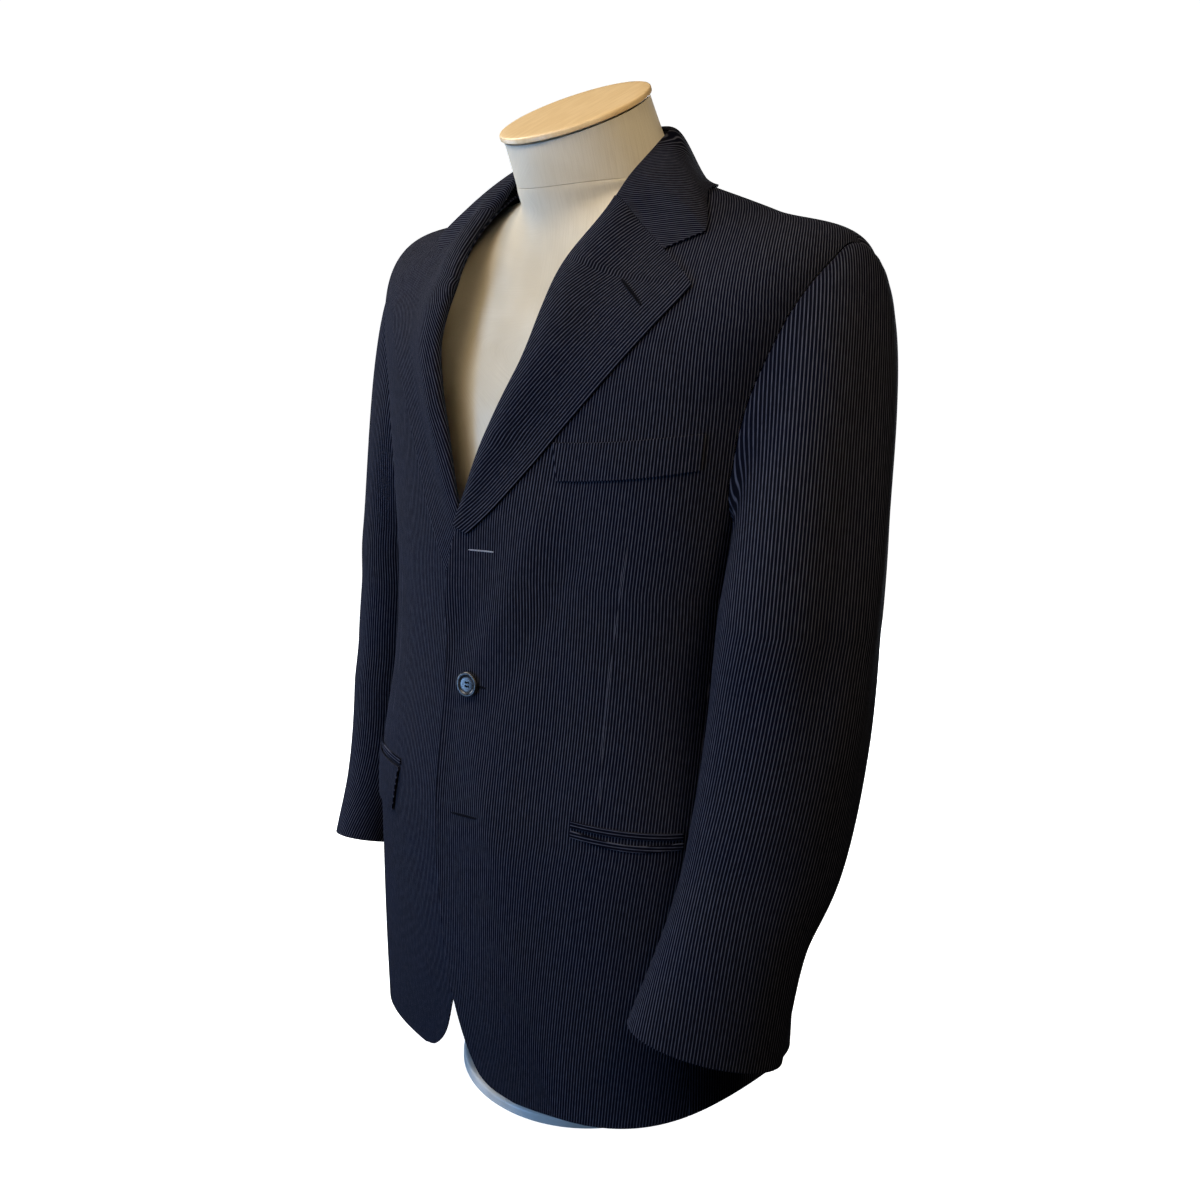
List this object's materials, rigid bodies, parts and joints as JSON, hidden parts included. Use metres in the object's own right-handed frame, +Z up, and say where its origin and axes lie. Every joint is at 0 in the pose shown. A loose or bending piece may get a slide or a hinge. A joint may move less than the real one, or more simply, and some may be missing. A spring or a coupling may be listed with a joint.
{
  "type": "suit jacket on a limbless dress form",
  "caption": "Single-breasted notch-lapel suit jacket with long sleeves and hip pockets, worn by a limbless linen dress form on a round foot.",
  "frame": {"origin": "centre of the underside of the form's round foot plate, on the floor", "axes": "+Z up, the wearer faces -Y, and the wearer's left is +X"},
  "size_m": [0.5828, 0.2852, 0.8755],
  "materials": {
    "suiting": "dark navy worsted with fine broken pin stripes, matte with a faint nap",
    "horn": "near-black imitation horn, satin, four holes and a raised rim",
    "linen": "natural off-white linen stretched over the form",
    "cap": "pale tan satin varnish on the neck's cap",
    "enamel": "pale satin enamel on the pole and foot"
  },
  "bodies": {
    "root": {"back_left": "suiting", "back_right": "suiting", "breast_welt": "suiting", "collar_fall": "suiting", "collar_stand": "suiting", "cuff_button_left_1": "horn", "cuff_button_left_2": "horn", "cuff_button_left_3": "horn", "cuff_button_left_4": "horn", "cuff_button_right_1": "horn", "cuff_button_right_2": "horn", "cuff_button_right_3": "horn", "cuff_button_right_4": "horn", "form_cap": "cap", "form_neck": "linen", "form_torso": "linen", "front_button_bottom": "horn", "front_button_middle": "horn", "front_button_top": "horn", "front_left": "suiting", "front_right": "suiting", "lapel_left": "suiting", "lapel_right": "suiting", "pocket_flap_right": "suiting", "pocket_jet_lower_left": "suiting", "pocket_jet_upper_left": "suiting", "pocket_jet_upper_right": "suiting", "side_left": "suiting", "side_right": "suiting", "sleeve_top_left": "suiting", "sleeve_top_right": "suiting", "sleeve_under_left": "suiting", "sleeve_under_right": "suiting", "stand_base": "enamel", "stand_pole": "enamel"}
  },
  "joints": []
}
